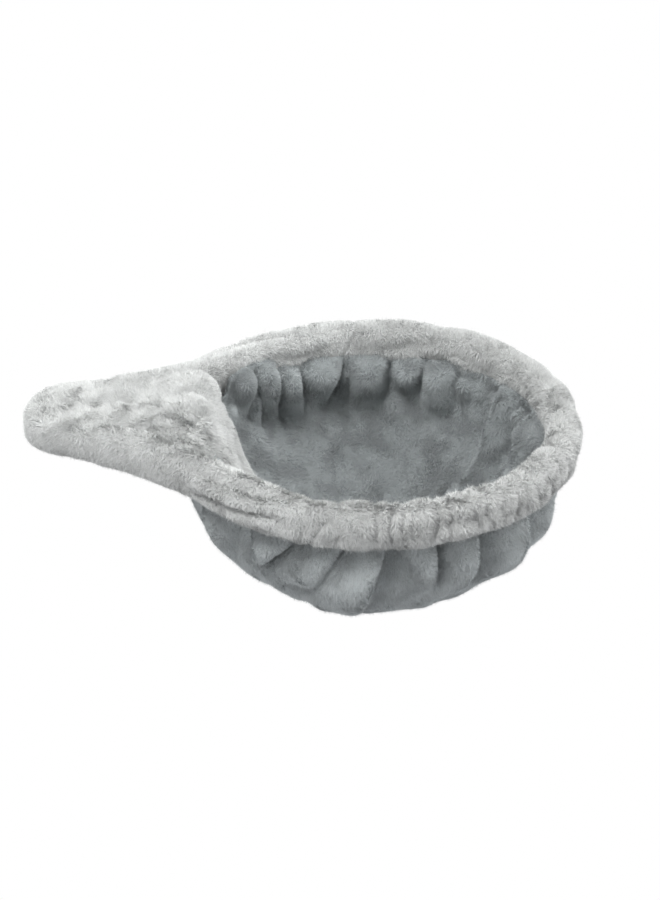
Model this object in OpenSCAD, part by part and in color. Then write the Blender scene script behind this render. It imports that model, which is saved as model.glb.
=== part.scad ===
// Plush hanging basket for a cat tree: a wire hoop with a flat padded handle and a soft pouch.
// The origin is midway between the two screw holes, on the upper face of the mounting plate.
// +X runs from the handle to the far side of the hoop, +Z is up.

/* [Overall] */
// Whole length from the handle's tip to the far side of the rim
overall_len = 410; // [390:1:440]
// Whole height from the top of the rim to the bottom of the pouch
overall_h = 140; // [125:1:160]
// Outer width of the round rim
rim_across = 302; // [280:1:320]

/* [Rim] */
// Width of the padded rim, measured in plan
rim_w = 24; // [20:1:28]
// Height of the padded rim
rim_h = 33; // [28:1:38]
// Thickness of the plush sleeve and panels
plush_t = 3; // [2:0.5:4]

/* [Wire frame] */
// Diameter of the bent steel rod
rod_d = 6; // [5:0.5:7]
// Thickness of the steel mounting plate
plate_t = 3; // [2:0.5:4]
// Distance between the two screw holes
hole_pitch = 18; // [16:1:24]
// Diameter of each screw hole in the plate
hole_d = 6.6; // [5.5:0.1:7]
// Length of each straight rod end inside the handle
tail_len = 29; // [24:1:32]

/* [Handle] */
// Radius of the rounded handle tip
tip_r = 39.5; // [36:0.5:42]
// Angle at which each side of the handle opens, in degrees
taper = 17; // [14:1:20]
// Radius of the hollow curve from the handle into the rim
flare_r = 258; // [240:1:280]
// Distance from the tip to the middle of the screw holes
tip_to_mount = 45; // [42:1:50]
// Thickness of the padded handle
handle_h = 28; // [26:1:32]
// Distance from the screw holes to the start of the rim sleeve
sleeve_start = 40; // [36:1:46]

/* [Pouch] */
// Outer radius of the pouch where it hangs from the rim
pouch_r = 137.5; // [130:0.5:140]
// Squareness of the pouch's side profile: 2 is a plain ellipse
pouch_squareness = 2.2; // [2:0.05:2.6]
// Thickness of the wadding between the pouch cover and its lining
wadding_t = 3.4; // [2.5:0.1:4]
// Radius of the round floor that can be pushed up
floor_r = 88; // [70:1:95]
// Half angle of the bib that runs from the handle down into the pouch
bib_half_angle = 27; // [20:1:28]
// Distance from the pouch's middle to where the bib starts to turn down
bib_start_r = 145; // [142:1:150]
// Radius of the bib's turn over the neck
bib_turn_r = 28; // [22:1:30]
// Slope of the bib's straight fall, in degrees
bib_slope = 68; // [66:1:72]
// Depth of the bib's lower edge below the handle's top face
bib_drop = 89; // [70:1:92]

/* [Hidden] */
$fn = 96;
gap = 0.3;
rod_r = rod_d / 2;
rod_z = rod_r;
// The hoop: its centre, and the circle that the middle of the rim follows
hoop_x = overall_len - tip_to_mount - rim_across / 2;
hoop_r = rim_across / 2 - rim_w / 2;
join_angle = 135;
// The centre of the hollow curve that leads from the handle into the hoop
flare_x = hoop_x + (rim_across / 2 + flare_r) * cos(join_angle);
flare_y = (rim_across / 2 + flare_r) * sin(join_angle);
flare_path_r = flare_r + rim_w / 2;
flare_start = taper - 90;
flare_sweep = join_angle - 180 - flare_start;
// Where the rod stops curving and its straight end begins
tail_x = flare_x + flare_path_r * cos(flare_start);
tail_y = flare_y + flare_path_r * sin(flare_start);
// Levels of the handle and the rim
handle_top = rod_z + handle_h / 2;
handle_bottom = rod_z - handle_h / 2;
rim_bottom = rod_z - rim_h / 2;
wall_top = rim_bottom - gap;
pouch_depth = overall_h - rim_h - gap;
// The pouch's layers, each as its distance in from the outer face
wad_in = plush_t + gap;
lining_in = wad_in + wadding_t + gap;
pouch_in = lining_in + plush_t;
// Where the bib's turn ends and its straight fall begins, and where that fall ends
bib_knee_r = bib_start_r - bib_turn_r * sin(bib_slope);
bib_knee_z = handle_top - bib_turn_r * (1 - cos(bib_slope));
bib_foot_z = handle_top - bib_drop;
bib_foot_r = bib_knee_r - (bib_knee_z - bib_foot_z) / tan(bib_slope);
wall_step = 3;
// How far one length of the rod runs into the next, and how much thinner it is there
rod_lap = 1;
rod_step = 0.03;

function arc(cx, cy, r, a0, a1, n) =
    [for (i = [0:n]) let (a = a0 + (a1 - a0) * i / n) [cx + r * cos(a), cy + r * sin(a)]];
function mirrored(pts) = [for (i = [len(pts) - 1:-1:0]) [pts[i][0], -pts[i][1]]];
// Half of the spoon-shaped plan outline, from the tip to the hoop, drawn in by d
function half_outline(d) = concat(
    arc(tip_r - tip_to_mount, 0, tip_r - d, 179, 90 + taper, 20),
    arc(flare_x, flare_y, flare_r + d, flare_start, join_angle - 180, 28));
// A point of the pouch's side profile, drawn in by d, at the angle u below the rim
function pouch_pt(d, u) = [(pouch_r - d) * pow(max(cos(u), 0), 2 / pouch_squareness),
    wall_top - (pouch_depth - d) * pow(max(sin(u), 0), 2 / pouch_squareness)];

module spoon(d) {
    polygon(concat(half_outline(d), mirrored(half_outline(d))));
}

// The handle's own outline, as far as the start of the rim sleeve
module handle_plan(d, x_end = sleeve_start) {
    intersection() {
        spoon(d);
        translate([-100, -150]) square([100 + x_end, 300]);
    }
}

// The neck between the two rod sides, as far as the bib
module neck_plan(d, end_r, x_start = sleeve_start - 1) {
    difference() {
        intersection() {
            spoon(rim_w + gap + d);
            translate([x_start, -60]) square([62, 120]);
        }
        translate([hoop_x, 0]) circle(r = end_r);
    }
}

module screw_holes(d) {
    for (x = [-1, 1]) translate([x * hole_pitch / 2, 0, -50]) cylinder(d = d, h = 100);
}

// A rounded-end section, w wide and h high, for the rim
module rim_section(w, h) {
    for (s = [-1, 1]) translate([0, s * (h - w) / 2]) circle(d = w);
    square([w, h - w], center = true);
}

// Sweeps its children round the hoop, stopping short by the angle trim at each end
module along_hoop(trim) {
    translate([hoop_x, 0, rod_z]) rotate([0, 0, trim - join_angle])
        rotate_extrude(angle = 2 * (join_angle - trim)) translate([hoop_r, 0]) children();
}

// Sweeps its children along one hollow curve; side is 1 for the left of the basket and -1 for the right.
// The sweep stops short by the angle trim at each end, and runs on into the hoop by the angle lap.
module along_neck(side, trim, lap = 0) {
    translate([flare_x, side * flare_y, rod_z])
        rotate([0, 0, side > 0 ? flare_start + trim : -flare_start - flare_sweep + trim - lap])
            rotate_extrude(angle = flare_sweep - 2 * trim + lap) translate([flare_path_r, 0]) children();
}

module beyond_handle(x) {
    difference() {
        children();
        translate([x - 200, -200, -60]) cube([200, 400, 120]);
    }
}

// Puts its children at one straight rod end, with +X running back along the rod to the tip
module at_tail(side) {
    translate([tail_x, side * tail_y, rod_z]) rotate([0, 0, 180 + side * taper]) children();
}

// The rod is bent from three lengths of bar and two straight ends. Each length runs into the next by
// rod_lap, and is thinner than it by rod_step.
module ring_rod() color([0.55, 0.57, 0.58]) {
    along_hoop(0) circle(r = rod_r);
    for (side = [-1, 1]) {
        along_neck(side, 0, rod_lap / flare_path_r * 180 / PI) circle(r = rod_r - rod_step);
        at_tail(side) translate([-rod_lap, 0, 0]) rotate([0, 90, 0])
            cylinder(r = rod_r - 2 * rod_step, h = tail_len + rod_lap);
    }
}

module mounting_plate() color([0.62, 0.64, 0.65]) difference() {
    translate([0, 0, -plate_t]) linear_extrude(plate_t) intersection() {
        spoon(5.5);
        translate([-15.5, -33]) square([44, 66]);
    }
    screw_holes(hole_d);
}

// A fillet of weld along the inner side of one rod end
module weld_bead(side) {
    at_tail(side) difference() {
        translate([1, 0, 0]) rotate([90, 0, 90]) linear_extrude(11)
            polygon([[0, -rod_r + 0.05], [side * (rod_r + 2.4), -rod_r + 0.05], [side * rod_r, -0.4]]);
        translate([-1, 0, 0]) rotate([0, 90, 0]) cylinder(r = rod_r + 0.05, h = 14);
    }
}

module left_weld_bead() color([0.42, 0.42, 0.41]) weld_bead(1);

module right_weld_bead() color([0.42, 0.42, 0.41]) weld_bead(-1);

module tail_cap(side) {
    at_tail(side) translate([tail_len - 7, 0, 0]) rotate([0, 90, 0]) difference() {
        cylinder(r = rod_r + 1.2, h = 8.4);
        translate([0, 0, -1]) cylinder(r = rod_r + 0.05, h = 8.1);
    }
}

module left_tail_cap() color([0.12, 0.12, 0.13]) tail_cap(1);

module right_tail_cap() color([0.12, 0.12, 0.13]) tail_cap(-1);

module handle_foam(z0, z1) {
    difference() {
        translate([0, 0, z0]) linear_extrude(z1 - z0) {
            handle_plan(plush_t + gap, sleeve_start - gap);
            neck_plan(gap, bib_start_r + gap);
        }
        screw_holes(13);
    }
}

module upper_handle_foam() color([0.93, 0.91, 0.82])
    handle_foam(2 * rod_r + 1.6, handle_top - plush_t - gap);

module lower_handle_foam() color([0.93, 0.91, 0.82])
    handle_foam(handle_bottom + plush_t + gap, -plate_t - gap);

// One half of the handle's plush cover: a shallow tray, and a flat skin over the neck
module handle_panel(z_seam, z_face) {
    up = z_face > z_seam ? 1 : -1;
    low = min(z_seam, z_face);
    high = max(z_seam, z_face);
    difference() {
        union() {
            translate([0, 0, low]) linear_extrude(high - low) handle_plan(0);
            translate([0, 0, up > 0 ? high - plush_t : low]) linear_extrude(plush_t)
                neck_plan(0, up > 0 ? bib_start_r + gap : pouch_r + gap);
        }
        translate([0, 0, up > 0 ? low - 1 : low + plush_t]) linear_extrude(high - low - plush_t + 1)
            handle_plan(plush_t, sleeve_start + 1);
        screw_holes(9);
    }
}

module handle_top_panel() color([0.78, 0.79, 0.79]) handle_panel(rod_z + 0.6, handle_top);

module handle_underside_panel() color([0.74, 0.75, 0.75]) handle_panel(rod_z - 0.6, handle_bottom);

module handle_seam_thread() color([0.66, 0.67, 0.67])
    translate([0, 0, rod_z - 0.4]) linear_extrude(0.8) difference() {
        handle_plan(1);
        handle_plan(2.2, sleeve_start + 1);
    }

module wadding_section() difference() {
    rim_section(rim_w - 2 * plush_t - 2 * gap, rim_h - 2 * plush_t - 2 * gap);
    circle(r = rod_r + 2 * gap);
}

module sleeve_section() difference() {
    rim_section(rim_w, rim_h);
    rim_section(rim_w - 2 * plush_t, rim_h - 2 * plush_t);
}

module rim_wadding() color([0.95, 0.95, 0.94]) along_hoop(0.1) wadding_section();

module neck_wadding(side) beyond_handle(sleeve_start + 2 * gap) along_neck(side, 0.05) wadding_section();

module left_neck_wadding() color([0.95, 0.95, 0.94]) neck_wadding(1);

module right_neck_wadding() color([0.95, 0.95, 0.94]) neck_wadding(-1);

module rim_sleeve() color([0.76, 0.77, 0.77]) along_hoop(0.1) sleeve_section();

module neck_sleeve(side) beyond_handle(sleeve_start + gap) along_neck(side, 0.05) sleeve_section();

module left_neck_sleeve() color([0.77, 0.78, 0.78]) neck_sleeve(1);

module right_neck_sleeve() color([0.77, 0.78, 0.78]) neck_sleeve(-1);

// A thin ring that follows the hoop where its own edges are sewn
module seam_ring(r, z, thick) {
    translate([hoop_x, 0, z]) rotate([0, 0, -join_angle])
        rotate_extrude(angle = 2 * join_angle) translate([r, 0]) circle(d = thick);
}

module gathering_elastic() color([0.85, 0.85, 0.84]) seam_ring(hoop_r + 8, rim_bottom + 0.9, 2.4);

module lining_seam_thread() color([0.52, 0.53, 0.53]) seam_ring(hoop_r - 10.5, rim_bottom + 0.9, 1.2);

// The plush tongue that turns down from the handle's top face into the pouch, cut back beside the neck sleeves
module neck_bib() color([0.76, 0.77, 0.77]) difference() {
    translate([hoop_x, 0, 0]) rotate([0, 0, 180 - bib_half_angle]) rotate_extrude(angle = 2 * bib_half_angle)
        polygon(concat(
            [[bib_foot_r, bib_foot_z]],
            arc(bib_start_r, handle_top - bib_turn_r, bib_turn_r, 90 + bib_slope, 90, 8),
            arc(bib_start_r, handle_top - bib_turn_r, bib_turn_r - plush_t, 90, 90 + bib_slope, 8),
            [[bib_foot_r + plush_t * sin(bib_slope), bib_foot_z - plush_t * cos(bib_slope)]]));
    for (side = [-1, 1]) translate([flare_x, side * flare_y, -overall_h])
        cylinder(r = flare_path_r + rim_w / 2 + 2 * gap, h = 2 * overall_h);
}

// One layer of the pouch, all the way down to the middle of its floor
module pouch_layer(d0, d1) {
    translate([hoop_x, 0, 0]) rotate_extrude() polygon(concat(
        [for (u = [0:wall_step:90]) pouch_pt(d0, u)],
        [for (u = [90:-wall_step:0]) pouch_pt(d1, u)]));
}

module wall_layer(d0, d1) {
    difference() {
        pouch_layer(d0, d1);
        translate([hoop_x, 0, -overall_h]) cylinder(r = floor_r + gap / 2, h = overall_h);
    }
}

module floor_layer(d0, d1) {
    intersection() {
        pouch_layer(d0, d1);
        translate([hoop_x, 0, -overall_h]) cylinder(r = floor_r - gap / 2, h = overall_h);
    }
}

module pouch_wall_cover() color([0.60, 0.62, 0.62]) wall_layer(0, plush_t);

module pouch_wall_wadding() color([0.95, 0.95, 0.94]) wall_layer(wad_in, wad_in + wadding_t);

module pouch_wall_lining() color([0.50, 0.52, 0.52]) wall_layer(lining_in, pouch_in);

module pouch_floor_cover() color([0.58, 0.60, 0.60]) floor_layer(0, plush_t);

module pouch_floor_wadding() color([0.95, 0.95, 0.94]) floor_layer(wad_in, wad_in + wadding_t);

module pouch_floor_lining() color([0.48, 0.50, 0.50]) floor_layer(lining_in, pouch_in);

ring_rod();
mounting_plate();
left_weld_bead();
right_weld_bead();
left_tail_cap();
right_tail_cap();
upper_handle_foam();
lower_handle_foam();
handle_top_panel();
handle_underside_panel();
handle_seam_thread();
rim_wadding();
left_neck_wadding();
right_neck_wadding();
rim_sleeve();
left_neck_sleeve();
right_neck_sleeve();
gathering_elastic();
lining_seam_thread();
neck_bib();
pouch_wall_cover();
pouch_wall_wadding();
pouch_wall_lining();
pouch_floor_cover();
pouch_floor_wadding();
pouch_floor_lining();
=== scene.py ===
"""A plush hanging basket for a cat tree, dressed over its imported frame.

Each operator makes one piece, or one group of like pieces, from sizes that the frame gives.
"""

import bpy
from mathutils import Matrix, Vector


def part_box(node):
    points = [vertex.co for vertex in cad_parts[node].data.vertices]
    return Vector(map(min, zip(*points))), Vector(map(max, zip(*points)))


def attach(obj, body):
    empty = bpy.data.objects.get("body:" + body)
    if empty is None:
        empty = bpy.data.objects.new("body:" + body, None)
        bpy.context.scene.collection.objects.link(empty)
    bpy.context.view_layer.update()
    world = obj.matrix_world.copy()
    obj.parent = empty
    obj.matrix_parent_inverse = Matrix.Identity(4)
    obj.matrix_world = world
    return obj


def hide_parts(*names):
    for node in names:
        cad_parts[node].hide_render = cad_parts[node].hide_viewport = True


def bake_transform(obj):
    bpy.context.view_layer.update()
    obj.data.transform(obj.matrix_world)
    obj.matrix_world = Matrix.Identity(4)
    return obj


bl_info = {
    "name": "Plush Hanging Basket",
    "version": (1, 0, 0),
    "blender": (4, 5, 0),
    "location": "View3D > Sidebar > Basket",
    "description": "Makes the plush cover, lining, bib and pile of a hanging basket over its wire frame",
    "category": "Object",
}

import math

import bmesh
import bpy
import numpy as np
from mathutils import Matrix, Vector, noise

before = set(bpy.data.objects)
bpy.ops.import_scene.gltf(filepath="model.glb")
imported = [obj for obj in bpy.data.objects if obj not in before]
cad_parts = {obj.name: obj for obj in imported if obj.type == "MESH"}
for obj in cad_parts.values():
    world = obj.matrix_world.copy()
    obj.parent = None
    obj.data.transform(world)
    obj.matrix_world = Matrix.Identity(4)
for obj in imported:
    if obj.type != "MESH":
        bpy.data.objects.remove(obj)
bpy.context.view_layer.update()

MM = 0.001


def node_box(*names):
    """The lowest and highest corners of these nodes together, as two arrays."""
    boxes = [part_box(name) for name in names]
    return (
        np.min([np.array(b[0], float) for b in boxes], axis=0),
        np.max([np.array(b[1], float) for b in boxes], axis=0),
    )


# Places and sizes that the frame gives
COVER_LOW, COVER_HIGH = node_box("pouch_wall_cover", "pouch_floor_cover")
LINING_LOW, LINING_HIGH = node_box("pouch_wall_lining", "pouch_floor_lining")
RIM_LOW, RIM_HIGH = node_box("rim_sleeve")
PANEL_LOW, PANEL_HIGH = node_box("handle_top_panel", "handle_underside_panel")
BIB_LOW, BIB_HIGH = node_box("neck_bib")
NECK_LOW, NECK_HIGH = node_box("left_neck_sleeve", "right_neck_sleeve")

HOOP_X = (COVER_LOW[0] + COVER_HIGH[0]) / 2
COVER_R = (COVER_HIGH[0] - COVER_LOW[0]) / 2
LINING_R = (LINING_HIGH[0] - LINING_LOW[0]) / 2
SEAM_Z = COVER_HIGH[2]
RIM_OUT = (RIM_HIGH[1] - RIM_LOW[1]) / 2
RIM_Z = (RIM_LOW[2] + RIM_HIGH[2]) / 2
RIM_H = RIM_HIGH[2] - RIM_LOW[2]
RIM_W = 24 * MM  # the rim's width in plan
HOOP_R = RIM_OUT - RIM_W / 2
TIP_X = PANEL_LOW[0]
TIP_R = 39.5 * MM  # the handle's round tip
TAPER = math.radians(17)  # how far the handle's sides open towards the hoop
FLARE_R = 258 * MM  # the hollow curve from each of those sides into the hoop
JOIN = math.radians(135)  # where that curve meets the hoop, from its far side
FLARE_X = HOOP_X + (RIM_OUT + FLARE_R) * math.cos(JOIN)
FLARE_Y = (RIM_OUT + FLARE_R) * math.sin(JOIN)


def setting(name, description, default, low, high, unit="NONE", subtype="NONE"):
    """A number that the sidebar shows."""
    return bpy.props.FloatProperty(
        name=name, description=description, default=default, min=low, max=high, unit=unit, subtype=subtype
    )


def length_setting(name, description, default, low, high):
    """A length in metres that the sidebar shows, given in millimetres."""
    return setting(name, description, default * MM, low * MM, high * MM, unit="LENGTH")


def colour_setting(name, description, default):
    return bpy.props.FloatVectorProperty(
        name=name, description=description, default=default, subtype="COLOR", size=3, min=0, max=1
    )


class BasketSizes(bpy.types.PropertyGroup):
    """Sizes of the soft pieces."""

    squareness: setting(
        "Pouch squareness", "Shape of the pouch's side profile; 2 is a plain ellipse", 2.2, 1.8, 2.8
    )
    cover_swell: setting(
        "Cover fold depth",
        "How far the outside gathers stand out, as a share of their listed depth",
        1.05, 0.0, 1.6, subtype="FACTOR",
    )
    lining_swell: setting(
        "Lining fold depth",
        "How far the inside gathers stand in, as a share of their listed depth",
        1.35, 0.0, 1.6, subtype="FACTOR",
    )
    lining_rise: length_setting(
        "Lining rise", "How much higher the lining runs beside the bib than elsewhere", 13, 0, 20
    )
    backing: length_setting("Backing thickness", "Thickness of the cloth that carries the pile", 2.0, 0.5, 4)
    pressed_pile: length_setting(
        "Pressed pile", "Depth inside the frame's outer face at which the backing cloth lies", 1.6, 0, 4
    )
    remesh: length_setting(
        "Remesh size", "Voxel size used when the handle and rim are made into one skin", 2.8, 2, 8
    )


class BasketPile(bpy.types.PropertyGroup):
    """Length, density and lie of the plush pile."""

    length: length_setting("Pile length", "Length of one tuft of pile", 5.4, 1, 12)
    width: length_setting("Tuft width", "Width of one tuft of pile at its root", 0.8, 0.2, 3)
    lean: setting("Lean", "How far the pile lies over, against standing upright", 1.5, 0.0, 4.0)
    clump: length_setting("Clump size", "Distance over which the pile lies the same way", 15, 3, 60)
    loose: setting(
        "Loose strands",
        "Longer strands that stand up out of the pile, as a share of its tufts",
        0.06, 0.0, 0.5, subtype="FACTOR",
    )
    outside: setting(
        "Outside density", "Tufts in a square millimetre on the handle, rim and cover", 3.6, 0.1, 8.0
    )
    inside: setting("Inside density", "Tufts in a square millimetre on the lining", 3.0, 0.1, 8.0)


class BasketColours(bpy.types.PropertyGroup):
    """Colours of the plush; the cover's and the lining's are darkened with painted shade."""

    light: colour_setting("Handle and rim", "Plush of the handle, rim and bib", (0.65, 0.66, 0.652))
    # the cover is the same plush as the handle and rim; its darker colour is painted shade, because the pouch's
    # outside is lit less
    cover: colour_setting("Cover", "Plush of the outside of the pouch", (0.51, 0.54, 0.545))
    # the lining is the same plush again; its much darker colour is painted shade for the inside of the pouch, which
    # lies in shadow
    lining: colour_setting("Lining", "Plush of the inside of the pouch", (0.35, 0.375, 0.38))


def sizes():
    return bpy.context.scene.basket_sizes


def pile():
    return bpy.context.scene.basket_pile


def colours():
    return bpy.context.scene.basket_colours


# ---------------------------------------------------------------- nodes and materials

FLOAT, COLOUR, GEOMETRY = "NodeSocketFloat", "NodeSocketColor", "NodeSocketGeometry"


def put(tree, node, values):
    """Sets a node's inputs, each to a value or to another node's output. None is left alone."""
    for key, value in values.items():
        if hasattr(value, "is_output"):
            tree.links.new(value, node.inputs[key])
        elif value is not None:
            node.inputs[key].default_value = value
    return node


def add(tree, kind, values=None, **attributes):
    """Adds a node with these attributes and inputs."""
    node = tree.nodes.new(kind)
    for key, value in attributes.items():
        setattr(node, key, value)
    return put(tree, node, values or {})


def new_tree(name, kind, inputs, outputs):
    """A node group, what its input node gives, and its output node."""
    tree = bpy.data.node_groups.new(name, kind)
    for key, socket_type, value in inputs:
        item = tree.interface.new_socket(name=key, in_out="INPUT", socket_type=socket_type)
        if value is not None:
            item.default_value = value
    for key, socket_type in outputs:
        tree.interface.new_socket(name=key, in_out="OUTPUT", socket_type=socket_type)
    return tree, add(tree, "NodeGroupInput").outputs, add(tree, "NodeGroupOutput")


def pile_cloth_group():
    """Node group: brushed plush backing, as a colour and a height that change over the surface."""
    name = "plush_backing"
    if name in bpy.data.node_groups:
        return bpy.data.node_groups[name]
    tree, inp, out = new_tree(
        name,
        "ShaderNodeTree",
        [
            ("Colour", COLOUR, (0.5, 0.5, 0.5, 1)),
            ("Patch size", FLOAT, 70.0),
            ("Strand size", FLOAT, 900.0),
            ("Contrast", FLOAT, 0.25),
        ],
        [("Colour", COLOUR), ("Height", FLOAT)],
    )
    place = add(tree, "ShaderNodeTexCoord").outputs["Object"]

    def noise_node(scale, detail, distortion=None):
        values = {"Vector": place, "Scale": scale, "Detail": detail, "Distortion": distortion}
        return add(tree, "ShaderNodeTexNoise", values).outputs["Fac"]

    def number(op, *values):
        return add(tree, "ShaderNodeMath", dict(enumerate(values)), operation=op).outputs[0]

    patch, strand = noise_node(inp["Patch size"], 4), noise_node(inp["Strand size"], 3, 0.6)
    height = number("MULTIPLY_ADD", strand, 0.55, patch)
    # 0.77 is the height's middle, so that the mean colour stays as given
    amount = number("MULTIPLY_ADD", number("SUBTRACT", height, 0.77), inp["Contrast"], 1.0)
    tint = add(tree, "ShaderNodeVectorMath", {0: inp["Colour"], "Scale": amount}, operation="SCALE")
    put(tree, out, {"Colour": tint.outputs[0], "Height": height})
    return tree


def new_material(name, surface):
    """A material with these inputs on its BSDF. Returns it and the BSDF."""
    mat = bpy.data.materials.new(name)
    mat.use_nodes = True
    return mat, put(mat.node_tree, mat.node_tree.nodes["Principled BSDF"], surface)


def uneven_material(name, colour, surface, contrast, strand, depth, strength):
    """A material whose colour and height vary by the plush group. surface gives its BSDF's inputs."""
    mat, bsdf = new_material(name, surface)
    tree = mat.node_tree
    cloth = add(tree, "ShaderNodeGroup", node_tree=pile_cloth_group())
    put(tree, cloth, {"Colour": (*colour, 1), "Strand size": strand, "Contrast": contrast})
    height = cloth.outputs["Height"]
    bump = add(tree, "ShaderNodeBump", {"Distance": depth * MM, "Strength": strength, "Height": height})
    put(tree, bsdf, {"Base Color": cloth.outputs["Colour"], "Normal": bump.outputs["Normal"]})
    return mat


def backing_material(name, colour):
    """The cloth that carries the pile: uneven, matt and a little fluffy at glancing angles."""
    matt = {"Roughness": 0.95, "Specular IOR Level": 0.15, "Sheen Weight": 0.25, "Sheen Roughness": 0.5}
    return uneven_material(name, colour, matt, 0.5, 900, 1.2, 0.6)


def tuft_material(name, colour, gain):
    """One tone of the pile's strands."""
    tone = (*[min(c * gain, 1) for c in colour], 1)
    soft = {"Roughness": 0.85, "Specular IOR Level": 0.2, "Sheen Weight": 0.3, "Sheen Roughness": 0.45}
    return new_material(name, {"Base Color": tone, **soft})[0]


def plain_material(name, colour, rough, metal=0.0, grain=400.0, depth=0.1):
    """Steel, foam, fibre or thread: a colour with fine uneven grain, depth millimetres deep."""
    return uneven_material(name, colour, {"Roughness": rough, "Metallic": metal}, 0.3, grain, depth, 0.5)


# ---------------------------------------------------------------- mesh helpers


def new_object(name, data):
    obj = bpy.data.objects.new(name, data)
    bpy.context.scene.collection.objects.link(obj)
    return obj


def new_piece(name, points, faces, material=None, smooth=True):
    mesh = bpy.data.meshes.new(name)
    mesh.from_pydata([tuple(p) for p in points], [], faces)
    mesh.update()
    if smooth:
        mesh.polygons.foreach_set("use_smooth", [True] * len(mesh.polygons))
    if material:
        mesh.materials.append(material)
    return new_object(name, mesh)


def read_vectors(obj, what):
    values = np.empty(len(obj.data.vertices) * 3)
    obj.data.vertices.foreach_get(what, values)
    return values.reshape(-1, 3)


def points_of(obj):
    return read_vectors(obj, "co")


def normals_of(obj):
    return read_vectors(obj, "normal")


def set_points(obj, points):
    obj.data.vertices.foreach_set("co", np.asarray(points, float).ravel())
    obj.data.update()


def final_mesh(obj):
    """A new mesh: the object's, as its live modifiers leave it."""
    return bpy.data.meshes.new_from_object(obj.evaluated_get(bpy.context.evaluated_depsgraph_get()))


def apply_modifiers(obj):
    """Puts the object's live modifiers into its mesh."""
    done = final_mesh(obj)
    obj.modifiers.clear()
    old, obj.data = obj.data, done
    bpy.data.meshes.remove(old)
    return obj


def mesh_through(obj, tree, values):
    """The object's mesh after one more modifier, which is this node group with these inputs."""
    mod = obj.modifiers.new("nodes", "NODES")
    mod.node_group = tree
    slots = {i.name: i.identifier for i in tree.interface.items_tree if i.in_out == "INPUT"}
    for key, value in values.items():
        mod[slots[key]] = value
    bpy.context.view_layer.update()
    mesh = final_mesh(obj)
    obj.modifiers.remove(mod)
    return mesh


def lumps(points, size, seed=0.0):
    """Smooth noise from about -1 to 1 at each point, with lumps of this size."""
    off = Vector((seed * 7.31, seed * 3.17, seed * 5.53))
    return np.array([noise.noise(Vector(p) / size + off) for p in points])


def smoothstep(x):
    x = np.clip(x, 0, 1)
    return x * x * (3 - 2 * x)


# ---------------------------------------------------------------- the pouch

# Each fold of the cover: its two sides at the seam, how far each side moves along in the first
# 100 mm of fall and where its crest lies between them, then how far it stands out and how far it
# reaches down. Angles are in degrees, the crest is a share and the last two are in millimetres.
COVER_FOLDS = [
    (186, 204, 0, 0, 0.6, 9, 60),
    (205, 227, 2, -10, 0.7, 14, 66),
    (229, 252.7, 10, -46, 0.75, 15, 58),
    (254, 265, -44, -20, 0.8, 14, 62),
    (265.4, 276.1, -34, -10, 0.84, 18, 96),
    (278.6, 290.8, 16, 2, 0.66, 15, 60),
    (291.8, 304.3, 4, -5, 0.84, 17, 70),
    (307, 323.6, -2, -2, 0.85, 17, 78),
    (327, 340.6, 0, 0, 0.8, 12, 66),
    (342, 358, 2, 2, 0.7, 7, 70),
]
# The same for the lining, which stands inwards
LINING_FOLDS = [
    (1, 20, 0, -4, 0.85, 14, 100),
    (31.5, 41.5, 0, 3, 0.5, 13, 100),
    (61.5, 73.5, 0, 0, 0.5, 11, 54),
    (75, 85.6, 2, -1, 0.35, 13, 38),
    (87.4, 102, 4, -2, 0.4, 14, 52),
    (103.6, 120.2, 20, -10, 0.3, 15, 46),
    (121, 129.6, -2, 0, 0.5, 12, 56),
    (130.4, 139.2, 0, 0, 0.5, 11, 54),
    (140.2, 152, 0, -4, 0.5, 11, 32),
    (153, 170, 0, 0, 0.5, 7, 40),
]


def fill_folds(folds, start, stop, depth, reach, rng):
    """Adds folds of uneven width from start to stop degrees, where none are listed."""
    out, at = list(folds), start
    while at < stop - 6:
        wide = min(rng.uniform(10, 18), stop - at)
        lean = rng.uniform(-7, 7)
        crest = rng.uniform(0.35, 0.7)
        stand, fall = depth * rng.uniform(0.8, 1.15), reach * rng.uniform(0.75, 1.2)
        out.append((at + 1, at + wide - 1, lean, -lean * 0.5, crest, stand, fall))
        at += wide
    return out


def fold_height(angle, fall, folds):
    """How far the folds stand off the bare bowl. angle is in degrees and fall in metres."""
    height = np.zeros_like(angle)
    for left, right, lean_left, lean_right, crest, stand, reach in folds:
        travel = fall / (100 * MM)
        a, b = left + lean_left * travel, right + lean_right * travel
        turned = (angle - (a + b) / 2 + 180) % 360 - 180
        t = np.clip(0.5 + turned / np.maximum(b - a, 1.0), 0, 1)
        # a gentle rise to the crest on one side and a quick drop on the other
        side = np.where(t < crest, t / crest, (1 - t) / (1 - crest))
        power = np.where((t < crest) == (crest > 0.5), 0.85, 0.5)
        arch = np.sin(math.pi / 2 * np.clip(side, 0, 1)) ** power
        swell = 1 - 0.55 * np.exp(-fall / (7 * MM))
        fade = 1 - smoothstep((fall / (reach * MM) - 0.25) / 0.75)
        height = np.maximum(height, stand * MM * arch * swell * fade * (b > a))
    return height


def bowl(radius, depth, top_z, rings, squareness):
    """The bare bowl's side: radius, height and outward normal at even steps, and the fall along it."""
    u = np.linspace(0, math.pi / 2, 900)
    k = 2 / squareness
    r, z = radius * np.cos(u) ** k, top_z - depth * np.sin(u) ** k
    r[-1] = 0
    along = np.concatenate([[0], np.cumsum(np.hypot(np.diff(r), np.diff(z)))])
    want = np.linspace(0, along[-1], rings)
    r, z = np.interp(want, along, r), np.interp(want, along, z)
    dr, dz = np.gradient(r), np.gradient(z)
    size = np.hypot(dr, dz)
    nr, nz = -dz / size, dr / size
    return r, z, nr, nz, want


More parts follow.
